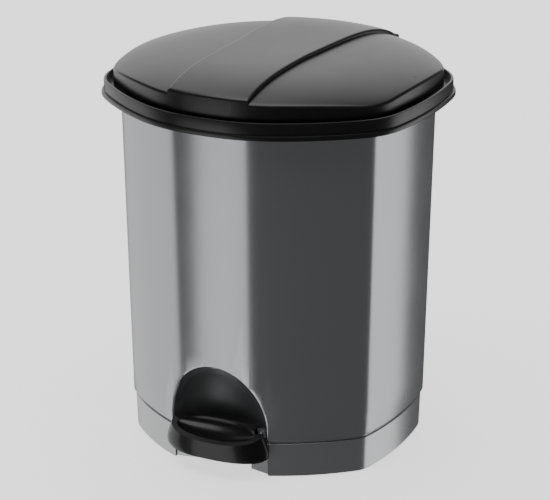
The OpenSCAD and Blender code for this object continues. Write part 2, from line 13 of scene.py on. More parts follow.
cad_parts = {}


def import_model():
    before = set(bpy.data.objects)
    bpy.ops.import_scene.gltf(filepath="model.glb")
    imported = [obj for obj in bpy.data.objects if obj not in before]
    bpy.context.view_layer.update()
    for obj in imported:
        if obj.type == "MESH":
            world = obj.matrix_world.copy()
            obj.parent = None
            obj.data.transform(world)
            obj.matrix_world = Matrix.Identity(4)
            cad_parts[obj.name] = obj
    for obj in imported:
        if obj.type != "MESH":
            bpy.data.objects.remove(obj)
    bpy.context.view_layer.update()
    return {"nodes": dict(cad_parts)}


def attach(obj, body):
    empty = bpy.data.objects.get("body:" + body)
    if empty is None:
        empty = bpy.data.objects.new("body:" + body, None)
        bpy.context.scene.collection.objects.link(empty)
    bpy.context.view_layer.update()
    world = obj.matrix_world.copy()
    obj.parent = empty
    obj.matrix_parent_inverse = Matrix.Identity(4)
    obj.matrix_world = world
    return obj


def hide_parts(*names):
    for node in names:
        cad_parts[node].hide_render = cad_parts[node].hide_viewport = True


LOG = logging.getLogger("waste_bin")
MM = 0.001
SHARP_ANGLE = math.radians(32)
ROUND_PROFILE = 0.5
ROUND_SEGMENTS = 3
ROD_SEGMENTS = 40
MERGE_MM = 0.01
FAR = 600.0
SIDES = (-1, 1)


class Slot(Enum):
    """The record's material slots."""

    SILVER = "silver_body"
    BLACK = "black_gloss"
    GREY = "grey_plastic"
    STEEL = "zinc_steel"
    RUBBER = "rubber"


class Body(Enum):
    """The CAD bodies that the pieces ride on."""

    BIN = "bin_body"
    LID = "lid"
    PEDAL = "pedal"


# ---- finishes ----


def linear(colour: str) -> tuple[float, float, float, float]:
    """Turns an sRGB hex colour into linear light.

    Args:
        colour: Six hex digits with a leading hash.

    Returns:
        Red, green, blue and an alpha of one.
    """
    parts = [int(colour[i : i + 2], 16) / 255 for i in (1, 3, 5)]
    light = [c / 12.92 if c <= 0.04045 else ((c + 0.055) / 1.055) ** 2.4 for c in parts]
    return light[0], light[1], light[2], 1.0


def add_node(
    material: bpy.types.Material, kind: str, settings: dict | None = None, links: dict | None = None
) -> bpy.types.Node:
    """Adds one shader node, sets it and links its inputs.

    Args:
        material: The material that gets the node.
        kind: The node's type name.
        settings: Attribute names or input names with their values.
        links: Input names or numbers with the output sockets that feed them.

    Returns:
        The new node.
    """
    tree = material.node_tree
    node = tree.nodes.new(kind)
    for name, value in (settings or {}).items():
        if isinstance(name, str) and hasattr(node, name):
            setattr(node, name, value)
        else:
            node.inputs[name].default_value = value
    for name, socket in (links or {}).items():
        tree.links.new(socket, node.inputs[name])
    return node


@dataclass(frozen=True)
class Finish:
    """A surface finish: a base colour with fine grain, patchy sheen and a painted edge highlight, a
    lighter colour on sharp edges.

    Sizes are in millimetres.
    """

    name: str
    colour: str
    # Colour of the painted edge highlight, laid on sharp edges.
    painted_edge_colour: str
    metallic: float = 0.0
    roughness: float = 0.4
    rough_spread: float = 0.05
    grain_mm: float = 0.8
    grain_height: float = 0.02
    patch_mm: float = 70.0
    tint: float = 0.05
    coat: float = 0.0
    coat_roughness: float = 0.1
    stretch: tuple[float, float, float] = (1.0, 1.0, 1.0)
    patch_range: tuple[float, float] = (0.3, 0.7)
    # Pointiness range and strength of the painted edge highlight.
    painted_edge_range: tuple[float, float] = (0.53, 0.62)
    painted_edge_share: float = 0.5
    bump_strength: float = 0.35

    def build(self) -> bpy.types.Material:
        """Builds the node material.

        Returns:
            The finished material.
        """
        material = bpy.data.materials.new(self.name)
        material.use_nodes = True
        tree = material.node_tree
        shader = tree.nodes["Principled BSDF"]
        shader.inputs["Metallic"].default_value = self.metallic
        shader.inputs["Coat Weight"].default_value = self.coat
        shader.inputs["Coat Roughness"].default_value = self.coat_roughness
        place = add_node(material, "ShaderNodeTexCoord")
        turned = add_node(
            material, "ShaderNodeMapping", {"Scale": self.stretch}, {"Vector": place.outputs["Object"]}
        )
        grain = add_node(
            material,
            "ShaderNodeTexNoise",
            {"Scale": 1 / (self.grain_mm * MM), "Detail": 3.0, "Roughness": 0.6},
            {"Vector": turned.outputs["Vector"]},
        )
        patches = add_node(
            material,
            "ShaderNodeTexNoise",
            {"Scale": 1 / (self.patch_mm * MM), "Detail": 2.0},
            {"Vector": place.outputs["Object"]},
        )
        sheen = add_node(
            material,
            "ShaderNodeMapRange",
            {
                "From Min": self.patch_range[0],
                "From Max": self.patch_range[1],
                "To Min": self.roughness - self.rough_spread,
                "To Max": self.roughness + self.rough_spread,
            },
            {"Value": patches.outputs["Fac"]},
        )
        tree.links.new(sheen.outputs["Result"], shader.inputs["Roughness"])
        # Painted edge highlight: sharp edges, found by pointiness, are mixed towards a lighter colour
        # that stands in for light on them.
        edge = add_node(material, "ShaderNodeNewGeometry")
        painted_edge_mask = add_node(
            material,
            "ShaderNodeMapRange",
            {
                "From Min": self.painted_edge_range[0],
                "From Max": self.painted_edge_range[1],
                "To Min": 0.0,
                "To Max": self.painted_edge_share,
            },
            {"Value": edge.outputs["Pointiness"]},
        )
        speck = add_node(material, "ShaderNodeMix", {"data_type": "RGBA", "blend_type": "MIX"})
        speck.inputs[6].default_value = linear(self.colour)
        speck.inputs[7].default_value = [c * (1 - self.tint) for c in linear(self.colour)[:3]] + [1.0]
        tree.links.new(grain.outputs["Fac"], speck.inputs[0])
        painted_edge_mix = add_node(material, "ShaderNodeMix", {"data_type": "RGBA", "blend_type": "MIX"})
        tree.links.new(painted_edge_mask.outputs["Result"], painted_edge_mix.inputs[0])
        tree.links.new(speck.outputs[2], painted_edge_mix.inputs[6])
        painted_edge_mix.inputs[7].default_value = linear(self.painted_edge_colour)
        tree.links.new(painted_edge_mix.outputs[2], shader.inputs["Base Color"])
        bump = add_node(
            material,
            "ShaderNodeBump",
            {"Strength": self.bump_strength, "Distance": self.grain_height * MM},
            {"Height": grain.outputs["Fac"]},
        )
        tree.links.new(bump.outputs["Normal"], shader.inputs["Normal"])
        return material


# In each finish, the second colour is its painted edge highlight, lighter than the base colour.
# Aluminium-pigment lacquer sprayed on moulded ABS: a soft metallic sheen with fine flake.
SILVER_LACQUER = Finish(
    "silver_lacquered_abs", "#c6c7ca", "#d6d7d9", metallic=0.86, roughness=0.25, rough_spread=0.015,
    grain_mm=0.9, grain_height=0.004, tint=0.08, coat=0.15, coat_roughness=0.25,
)
# Injection-moulded black ABS with a spark-eroded satin skin: broad grey highlights.
SATIN_ABS = Finish(
    "satin_moulded_black_abs", "#0b0b0c", "#2a2b2c", roughness=0.36, rough_spread=0.03,
    grain_mm=0.7, grain_height=0.03, tint=0.15, coat=0.55, coat_roughness=0.3,
)
# Polished-mould black ABS: clear dark reflections with thin bright edges, partly from its rounded edges
# and partly from the painted edge highlight.
GLOSS_ABS = Finish(
    "gloss_moulded_black_abs", "#0a0a0b", "#2c2d2e", roughness=0.3, rough_spread=0.03,
    grain_mm=1.2, grain_height=0.006, tint=0.2, coat=0.3,
)
# Moulded grey polypropylene: waxy, faintly mottled.
GREY_PP = Finish(
    "moulded_grey_polypropylene", "#55585c", "#6f7276", roughness=0.48, rough_spread=0.06,
    grain_mm=1.1, grain_height=0.03, tint=0.1,
)
# Bright zinc plate on rolled steel: slightly cloudy metal with rolling lines along its length.
ZINC_STEEL = Finish(
    "zinc_plated_rolled_steel", "#b9bcc0", "#d6d8da", metallic=1.0, roughness=0.32, rough_spread=0.08,
    grain_mm=0.6, grain_height=0.02, patch_mm=12, tint=0.12, stretch=(6.0, 1.0, 1.0),
)
# Moulded black rubber: dull, dusty surface.
BLACK_RUBBER = Finish(
    "moulded_black_rubber", "#1b1b1b", "#2c2c2c", roughness=0.78, rough_spread=0.06,
    grain_mm=0.5, grain_height=0.05, tint=0.2,
)


# ---- mesh helpers ----


def mm(x: float, y: float, z: float) -> Vector:
    """Returns a point given in millimetres, in metres."""
    return Vector((x, y, z)) * MM


def bow(a: Vector, b: Vector, sag: float, t: float) -> Vector:
    """Returns the point at share t of a bowed line from a to b that bulges by sag to its right."""
    along = b - a
    side = Vector((along.y, -along.x)) / along.length
    return a + along * t + side * (4 * sag * t * (1 - t))


def shade(mesh: bpy.types.Mesh) -> None:
    """Shades a mesh smooth, apart from its sharp and its open edges.

    Args:
        mesh: The mesh.
    """
    work = bmesh.new()
    work.from_mesh(mesh)
    for face in work.faces:
        face.smooth = True
    for edge in work.edges:
        edge.smooth = len(edge.link_faces) == 2 and edge.calc_face_angle(0.0) < SHARP_ANGLE
    work.to_mesh(mesh)
    work.free()


def finish_mesh(work: bmesh.types.BMesh, name: str) -> bpy.types.Object:
    """Merges doubles, turns the faces outward and makes an object at the origin.

    Args:
        work: The mesh being built; it is freed.
        name: The object's name.

    Returns:
        The linked object.
    """
    bmesh.ops.remove_doubles(work, verts=work.verts, dist=MERGE_MM * MM)
    bmesh.ops.recalc_face_normals(work, faces=work.faces)
    mesh = bpy.data.meshes.new(name)
    work.to_mesh(mesh)
    work.free()
    piece = bpy.data.objects.new(name, mesh)
    bpy.context.scene.collection.objects.link(piece)
    return piece


def combine(target: bpy.types.Object, tool: bpy.types.Object, how: str) -> bpy.types.Object:
    """Cuts, joins or intersects a mesh with a tool mesh, which is used up.

    Args:
        target: The object that is changed.
        tool: The other solid.
        how: DIFFERENCE, UNION or INTERSECT.

    Returns:
        The changed object.
    """
    change = target.modifiers.new("combine", "BOOLEAN")
    change.operation = how
    change.solver = "EXACT"
    change.object = tool
    graph = bpy.context.evaluated_depsgraph_get()
    result = bpy.data.meshes.new_from_object(target.evaluated_get(graph))
    target.modifiers.clear()
    spent = target.data
    target.data = result
    bpy.data.meshes.remove(spent)
    used = tool.data
    bpy.data.objects.remove(tool)
    bpy.data.meshes.remove(used)
    return target


def block(low: tuple[float, float, float], high: tuple[float, float, float]) -> bpy.types.Object:
    """Makes a box from its two corners in millimetres."""
    work = bmesh.new()
    size = [h - l for l, h in zip(low, high)]
    middle = [(h + l) / 2 for l, h in zip(low, high)]
    place = Matrix.Translation(mm(*middle)) @ Matrix.Diagonal((*[s * MM for s in size], 1.0))
    bmesh.ops.create_cube(work, size=1.0, matrix=place)
    return finish_mesh(work, "block")


def rod(radius: float, start: Vector, end: Vector) -> bpy.types.Object:
    """Makes a cylinder between two points in millimetres."""
    work = bmesh.new()
    along = end - start
    turn = along.to_track_quat("Z", "Y").to_matrix().to_4x4()
    place = Matrix.Translation((start + end) / 2 * MM) @ turn
    bmesh.ops.create_cone(
        work, cap_ends=True, segments=ROD_SEGMENTS, radius1=radius * MM, radius2=radius * MM,
        depth=along.length * MM, matrix=place,
    )
    return finish_mesh(work, "rod")


def bevel(work: bmesh.types.BMesh, edges: list[bmesh.types.BMEdge], radius: float) -> None:
    """Rounds edges of a mesh in place.

    Args:
        work: The mesh.
        edges: The edges.
        radius: The rounding's width in mm.
    """
    bmesh.ops.bevel(
        work, geom=edges, offset=radius * MM, offset_type="OFFSET", segments=ROUND_SEGMENTS,
        profile=ROUND_PROFILE, affect="EDGES", material=-1, clamp_overlap=False,
    )


def round_edges(piece: bpy.types.Object, radius: float, angle: float) -> None:
    """Rounds a piece's sharp edges with a live modifier.

    Args:
        piece: The piece.
        radius: The rounding's width in mm.
        angle: The smallest turn between two faces that counts as an edge, in degrees.
    """
    soften = piece.modifiers.new("soft_edges", "BEVEL")
    soften.width = radius * MM
    soften.segments = 2
    soften.limit_method = "ANGLE"
    soften.angle_limit = math.radians(angle)
    soften.use_clamp_overlap = True


@dataclass(frozen=True)
class PanelPlan:
    """The bin's plan: eight bowed panels that meet at rounded upright creases. Sizes in mm."""

    half_w: float = 141.0
    half_d: float = 137.5
    front_x: float = 41.0
    side_y: float = 69.5
    front_bulge: float = 4.0
    diagonal_bulge: float = 6.3
    side_bulge: float = 7.3
    crease: float = 7.0
    panel_steps: int = 14
    crease_steps: int = 5

    def corners(self) -> list[tuple[Vector, float]]:
        """Returns each panel's first corner with its bulge, anticlockwise from the front left."""
        fx, fy = self.front_x, self.half_d - self.front_bulge
        sx, sy = self.half_w - self.side_bulge, self.side_y
        front, diagonal, side = self.front_bulge, self.diagonal_bulge, self.side_bulge
        return [
            (Vector((-fx, -fy)), front), (Vector((fx, -fy)), diagonal),
            (Vector((sx, -sy)), side), (Vector((sx, sy)), diagonal),
            (Vector((fx, fy)), front), (Vector((-fx, fy)), diagonal),
            (Vector((-sx, sy)), side), (Vector((-sx, -sy)), diagonal),
        ]

    def count(self) -> int:
        """Returns how many points the plan has."""
        return 8 * (self.panel_steps + self.crease_steps)

    def points(self, grow: float = 0.0) -> list[Vector]:
        """Returns the plan's points, grown outward at the sides' widest point by a distance.

        Args:
            grow: The distance in mm, negative to shrink.

        Returns:
            Points in mm, anticlockwise.
        """
        spots = self.corners()
        scale = 1 + grow / self.half_w
        found: list[Vector] = []
        for i, (a, sag) in enumerate(spots):
            b = spots[(i + 1) % 8][0]
            c, next_sag = spots[(i + 1) % 8][0], spots[(i + 1) % 8][1]
            d = spots[(i + 2) % 8][0]
            trim = self.crease / (b - a).length
            next_trim = self.crease / (d - c).length
            for k in range(self.panel_steps + 1):
                found.append(bow(a, b, sag, trim + (1 - 2 * trim) * k / self.panel_steps))
            p, q = found[-1], bow(c, d, next_sag, next_trim)
            for k in range(1, self.crease_steps):
                u = k / self.crease_steps
                found.append(p * (1 - u) ** 2 + b * (2 * u * (1 - u)) + q * u**2)
        return [v * scale for v in found]


PLAN = PanelPlan()
RIM_PLAN = PanelPlan(crease=17.0)
# One ring of a stack: how far the plan is grown, and the ring's height or a function giving it.
Station = tuple[float, float | Callable[[Vector], float]]


def shape_ring(
    ring: list[bmesh.types.BMVert], grow: float, z: float | Callable[[Vector], float], plan: PanelPlan
) -> None:
    """Moves a ring of vertices onto a plan.

    Args:
        ring: The vertices, in the plan's order.
        grow: How far the plan is grown, in mm.
        z: The height in mm, or a function from the plan's point to it.
        plan: The plan.
    """
    for vert, spot in zip(ring, plan.points(grow)):
        vert.co = mm(spot.x, spot.y, z(spot) if callable(z) else z)


def stack(stations: list[Station], closed: bool = False, plan: PanelPlan = PLAN) -> bmesh.types.BMesh:
    """Extrudes the plan's ring through a list of stations.

    Args:
        stations: Pairs of the plan's growth and the height, in mm.
        closed: True joins the last station to the first; otherwise both ends get a face.
        plan: The plan that the ring follows.

    Returns:
        The mesh, still open to more work.
    """
    work = bmesh.new()
    first = bmesh.ops.create_circle(work, cap_ends=False, segments=plan.count(), radius=1.0)["verts"]
    first_edges = list(work.edges)
    ring, edges = first, first_edges
    shape_ring(ring, *stations[0], plan)
    for station in stations[1:]:
        made = bmesh.ops.extrude_edge_only(work, edges=edges)["geom"]
        new_edges = [g for g in made if isinstance(g, bmesh.types.BMEdge)]
        pairs = {}
        for edge in work.edges:
            pairs.setdefault(edge.verts[0], []).append(edge)
            pairs.setdefault(edge.verts[1], []).append(edge)
        fresh = {g for g in made if isinstance(g, bmesh.types.BMVert)}
        ring = [next(e.other_vert(v) for e in pairs[v] if e.other_vert(v) in fresh) for v in ring]
        edges = [e for e in new_edges if e.verts[0] in fresh and e.verts[1] in fresh]
        shape_ring(ring, *station, plan)
    if closed:
        bmesh.ops.bridge_loops(work, edges=first_edges + edges)
    else:
        bmesh.ops.edgeloop_fill(work, edges=first_edges)
        bmesh.ops.edgeloop_fill(work, edges=edges)
    return work


def flat_prism(
    points: list[tuple[float, float]], z0: float, z1: float, name: str = "prism"
) -> bpy.types.Object:
    """Makes an upright prism over a plan given in millimetres."""
    work = bmesh.new()
    face = work.faces.new([work.verts.new(mm(x, y, z0)) for x, y in points])
    made = bmesh.ops.extrude_face_region(work, geom=[face])["geom"]
    raised = [g for g in made if isinstance(g, bmesh.types.BMVert)]
    bmesh.ops.translate(work, vec=mm(0, 0, z1 - z0), verts=raised)
    return finish_mesh(work, name)


def dress(
    piece: bpy.types.Object, material: bpy.types.Material, slot: Slot, body: Body, *nodes: str
) -> bpy.types.Object:
    """Gives a new piece its material and body, and stands it for CAD nodes.

    Args:
        piece: The piece, at the origin.
        material: Its material.
        slot: Its material slot in the record; not used.
        body: The body that it rides on.
        nodes: The CAD nodes that it replaces.

    Returns:
        The piece.
    """
    piece.data.materials.clear()
    piece.data.materials.append(material)
    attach(piece, body.value)
    if nodes:
        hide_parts(*nodes)
    LOG.info("%s: %d faces", piece.name, len(piece.data.polygons))
    return piece


# ---- hinge ----


@dataclass(frozen=True)
class Hinge:
    """The lid's hinge line behind the body. Sizes in mm."""

    y: float = 146.0
    z: float = 353.0
    barrel_r: float = 6.0
    pin_r: float = 2.55

    def line(self, radius: float, x0: float, x1: float) -> bpy.types.Object:
        """Makes a cylinder on the hinge line between two places across the bin."""
        return rod(radius, Vector((x0, self.y, self.z)), Vector((x1, self.y, self.z)))

    def barrel(self, x0: float, x1: float) -> bpy.types.Object:
        """Makes a barrel between two places across the bin."""
        return self.line(self.barrel_r, x0, x1)

    def bore(self, reach: float) -> bpy.types.Object:
        """Makes the solid of the pin's bore, which reaches as far to both sides."""
        return self.line(self.pin_r, -reach, reach)


HINGE = Hinge()


# ---- body ----


@dataclass
class BinBody:
    """The faceted outer shell with its scooped niche, and the base band under it. Sizes in mm."""

    material: bpy.types.Material
    wall: float = 2.5
    draft: float = 7.0
    rim_z: float = 341.0
    base_h: float = 38.0
    shell_top: float = 347.0
    floor_z: float = 64.0
    lip: float = 1.6
    niche_half_w: float = 50.0
    niche_depth: float = 30.0
    niche_mid_z: float = 45.0
    niche_top: float = 107.0
    niche_round: float = 3.0
    post_x: float = 110.5
    post_y: float = 40.0
    post_d: float = 12.0
    post_bore_r: float = 3.8
    post_bore_top: float = 9.0
    base_grow_top: float = -9.0
    base_grow_low: float = -10.2
    base_lift: float = 0.8
    flange_w: float = 18.0
    flange_z: float = 3.0
    foot_slot: tuple[float, float, float, float] = (-10.0, 106.0, 10.0, 121.0)
    crank_slot: tuple[float, float, float] = (5.0, 146.0, 331.3)
    bar_low: tuple[float, float, float] = (-118.0, -70.0, 4.0)
    bar_high: tuple[float, float, float] = (118.0, -46.0, 10.0)
    lever_gap_low: tuple[float, float, float] = (-15.0, -112.0, 12.0)
    lever_gap_high: tuple[float, float, float] = (15.0, -72.0, 39.0)
    notch_half: float = 28.0
    notch_back: float = -110.7
    wing_half: float = 50.0
    edge_r: float = 0.7
    edge_angle: float = 35.0
    sharp_niche: float = math.radians(24)
    niche_merge: float = 0.25
    niche_set_in: float = 5.0
    niche_band: float = 9.0
    levels: int = 12

    def grow(self, z: float) -> float:
        """Returns how far the plan is grown at a height of the body."""
        return -self.draft / (self.rim_z - self.base_h) * (self.rim_z - z)

    def half_d(self, z: float) -> float:
        """Returns the body's half depth at a height."""
        return PLAN.half_d * (1 + self.grow(z) / PLAN.half_w)

    def posts(self, radius: float, low: float, high: float) -> list[bpy.types.Object]:
        """Makes a cylinder at each of the four post places, between two heights."""
        spots = [Vector((sx * self.post_x, sy * self.post_y, 0)) for sx in SIDES for sy in SIDES]
        return [rod(radius, spot + Vector((0, 0, low)), spot + Vector((0, 0, high))) for spot in spots]

    def niche_solid(self, extra: float = 0.0) -> bpy.types.Object:
        """Makes the niche: a half ellipsoid over an elliptic shaft.

        Args:
            extra: How far the solid is grown, in mm.

        Returns:
            The solid.
        """
        work = bmesh.new()
        bmesh.ops.create_uvsphere(work, u_segments=48, v_segments=32, radius=1.0)
        low = [v for v in work.verts if v.co.z < -1e-4]
        bmesh.ops.delete(work, geom=low, context="VERTS")
        for vert in work.verts:
            if vert.co.z < 1e-4:
                vert.co.z = 0
        rim = [e for e in work.edges if e.is_boundary]
        made = bmesh.ops.extrude_edge_only(work, edges=rim)["geom"]
        down = [g for g in made if isinstance(g, bmesh.types.BMVert)]
        bmesh.ops.translate(work, vec=(0, 0, -2), verts=down)
        bmesh.ops.edgeloop_fill(work, edges=[e for e in work.edges if e.is_boundary])
        reach = Vector((self.niche_half_w, self.niche_depth, self.niche_top - self.niche_mid_z))
        bmesh.ops.scale(work, vec=(reach + Vector((extra, extra, extra))) * MM, verts=work.verts)
        middle_y = -self.half_d(self.niche_mid_z) + self.niche_set_in
        bmesh.ops.translate(work, vec=mm(0, middle_y, self.niche_mid_z), verts=work.verts)
        return finish_mesh(work, "niche")

    def on_niche_edge(self, spot: Vector) -> bool:
        """Says whether a point in mm lies on the niche's edge in the body's face."""
        high_enough = self.base_h + 0.2 < spot.z < self.niche_top + 2
        near_enough = abs(spot.x) < self.niche_half_w + 1
        return high_enough and near_enough and spot.y < -self.half_d(spot.z) + self.niche_band

    def round_niche(self, shell: bpy.types.Object) -> None:
        """Rounds the niche's outer edge.

        Args:
            shell: The shell with its niche cut.
        """
        work = bmesh.new()
        work.from_mesh(shell.data)
        bmesh.ops.remove_doubles(work, verts=work.verts, dist=self.niche_merge * MM)
        front = [
            e for e in work.edges
            if len(e.link_faces) == 2 and e.calc_face_angle(0.0) >= self.sharp_niche
            and all(self.on_niche_edge(v.co / MM) for v in e.verts)
        ]
        bevel(work, front, self.niche_round)
        work.to_mesh(shell.data)
        work.free()

    def build_shell(self) -> bpy.types.Object:
        """Builds the outer shell as one solid.

        Returns:
            The shell.
        """
        g, w, lip = self.grow, self.wall, self.lip
        wall_h = self.shell_top - self.base_h - lip
        levels = [self.base_h + lip + wall_h * i / self.levels for i in range(self.levels + 1)]
        stations = [(g(self.floor_z) - w, self.floor_z), (g(self.base_h) - w, self.base_h)]
        stations += [
            (g(self.base_h) - lip * (1 - math.sin(a)), self.base_h + lip * (1 - math.cos(a)))
            for a in (0.0, math.pi / 6, math.pi / 3)
        ]
        stations += [(g(z), z) for z in levels]
        stations += [(g(self.shell_top) - w, self.shell_top), (g(self.floor_z) - w, self.floor_z + w)]
        shell = finish_mesh(stack(stations), "body_shell")
        middle = [(g(z) - w / 2, z) for z in (self.base_h, self.shell_top)]
        backing = combine(self.niche_solid(w), finish_mesh(stack(middle), "inside"), "INTERSECT")
        combine(shell, backing, "UNION")
        for post in self.posts(self.post_d / 2, self.base_h, self.floor_z + 1):
            combine(shell, post, "UNION")
        combine(shell, self.niche_solid(), "DIFFERENCE")
        self.round_niche(shell)
        x0, y0, x1, y1 = self.foot_slot
        combine(shell, block((x0, y0, self.floor_z - 2), (x1, y1, self.floor_z + w + 2)), "DIFFERENCE")
        half, y1, low = self.crank_slot
        combine(shell, block((-half, y1 - 40, low), (half, y1, low + 100)), "DIFFERENCE")
        return shell

    def build_band(self) -> bpy.types.Object:
        """Builds the base band with its flange, crossbar, posts and pedal notch.

        Returns:
            The band.
        """
        w, top = self.wall, self.base_h - 0.1
        low, high = self.base_grow_low, self.base_grow_top
        outside = [
            (low, self.base_lift + 1), (high - 0.1, top - 3.6), (high - 0.5, top - 3.2),
            (high - 1.8, top - 2.8), (high - 1.8, top),
        ]
        inner = low - w
        inside = [
            (high - w, top), (inner, self.flange_z + w), (inner - self.flange_w, self.flange_z + w),
            (inner - self.flange_w, self.flange_z), (inner, self.flange_z), (inner, self.base_lift),
            (low - 0.8, self.base_lift),
        ]
        band = finish_mesh(stack(outside + inside, closed=True), "base_band")
        middle = stack([(low - w / 2, self.base_lift + 0.4), (high - w / 2, top - 0.05)])
        around = flat_prism(self.notch_plan(w), -1, self.base_h + 1)
        wall = combine(around, finish_mesh(middle, "inside"), "INTERSECT")
        combine(band, wall, "UNION")
        for post in self.posts(self.post_d / 2, self.flange_z, top):
            combine(band, post, "UNION")
        combine(band, block(self.bar_low, self.bar_high), "UNION")
        combine(band, flat_prism(self.notch_plan(0), -2, self.base_h + 2), "DIFFERENCE")
        combine(band, block(self.lever_gap_low, self.lever_gap_high), "DIFFERENCE")
        for bore in self.posts(self.post_bore_r, 0, self.post_bore_top):
            combine(band, bore, "DIFFERENCE")
        return band

    def notch_plan(self, extra: float) -> list[tuple[float, float]]:
        """Returns the plan of the band's recess for the pedal and its neck."""
        n, back, half = self.notch_half + extra, self.notch_back + extra, self.wing_half + extra
        right = [(half, -FAR), (half, back - 5), (n, back), (n * 0.86, back + 12), (n * 0.5, back + 22)]
        return right + [(-x, y) for x, y in reversed(right)]

    def dressed(self) -> None:
        """Builds and dresses both pieces."""
        for piece, node in ((self.build_shell(), "outer_shell"), (self.build_band(), "base_ring")):
            round_edges(piece, self.edge_r, self.edge_angle)
            shade(piece.data)
            dress(piece, self.material, Slot.SILVER, Body.BIN, node)


# ---- rim ----


@dataclass
class Rim:
    """The black rim over the body, with its gutter and hinge ears. Sizes in mm."""

    material: bpy.types.Material
    low: float = 341.0
    lip_grow: float = 19.0
    lip_h: float = 5.0
    band_grow: float = 16.8
    top: float = 357.5
    wall: float = 2.5
    gutter: float = 350.0
    plate_low: float = 347.5
    opening: float = -5.0
    skirt: float = -2.9
    gap_half: float = 54.0
    gap_y: float = 139.0
    ear_x: tuple[float, float] = (40.0, 46.0)
    ear_root: float = 4.5
    crank_gap: tuple[float, float] = (5.0, 117.5)
    bore_reach: float = 60.0
    edge_r: float = 1.2
    skirt_h: float = 8.0

    def build(self) -> bpy.types.Object:
        """Builds the rim as one solid.

        Returns:
            The rim.
        """
        low, top, lip_top = self.low, self.top, self.low + self.lip_h
        out, band, inner = self.lip_grow, self.band_grow, self.band_grow - self.wall
        r, turn, chamfer = self.edge_r, 0.3 * self.edge_r, 0.4
        stations = [
            (inner, low), (out - r, low), (out - turn, low + turn), (out, low + r),
            (out, lip_top - r), (out - turn, lip_top - turn), (out - r, lip_top), (band, lip_top),
            (band, top - r), (band - turn, top - turn), (band - r, top),
            (inner + chamfer, top), (inner, top - chamfer), (inner, self.gutter),
            (self.opening + 0.5, self.gutter), (self.opening, self.gutter - 0.5),
            (self.opening, low - self.skirt_h), (self.skirt, low - self.skirt_h),
            (self.skirt, self.plate_low), (inner, self.plate_low),
        ]
        rim = finish_mesh(stack(stations, closed=True, plan=RIM_PLAN), "rim")
        combine(rim, block((-self.gap_half, self.gap_y, 0), (self.gap_half, FAR, FAR)), "DIFFERENCE")
        for side in SIDES:
            x0, x1 = sorted(side * x for x in self.ear_x)
            root = (x0 + 0.01, self.gap_y - self.ear_root, self.plate_low + 0.02)
            ear = combine(HINGE.barrel(x0, x1), block(root, (x1 - 0.01, HINGE.y, HINGE.z)), "UNION")
            combine(rim, ear, "UNION")
        half, front = self.crank_gap
        combine(rim, block((-half, front, 0), (half, FAR, FAR)), "DIFFERENCE")
        combine(rim, HINGE.bore(self.bore_reach), "DIFFERENCE")
        return rim

    def dressed(self) -> None:
        """Builds and dresses the rim."""
        rim = self.build()
        shade(rim.data)
        dress(rim, self.material, Slot.BLACK, Body.BIN, "collar_ring")


# ---- lid ----


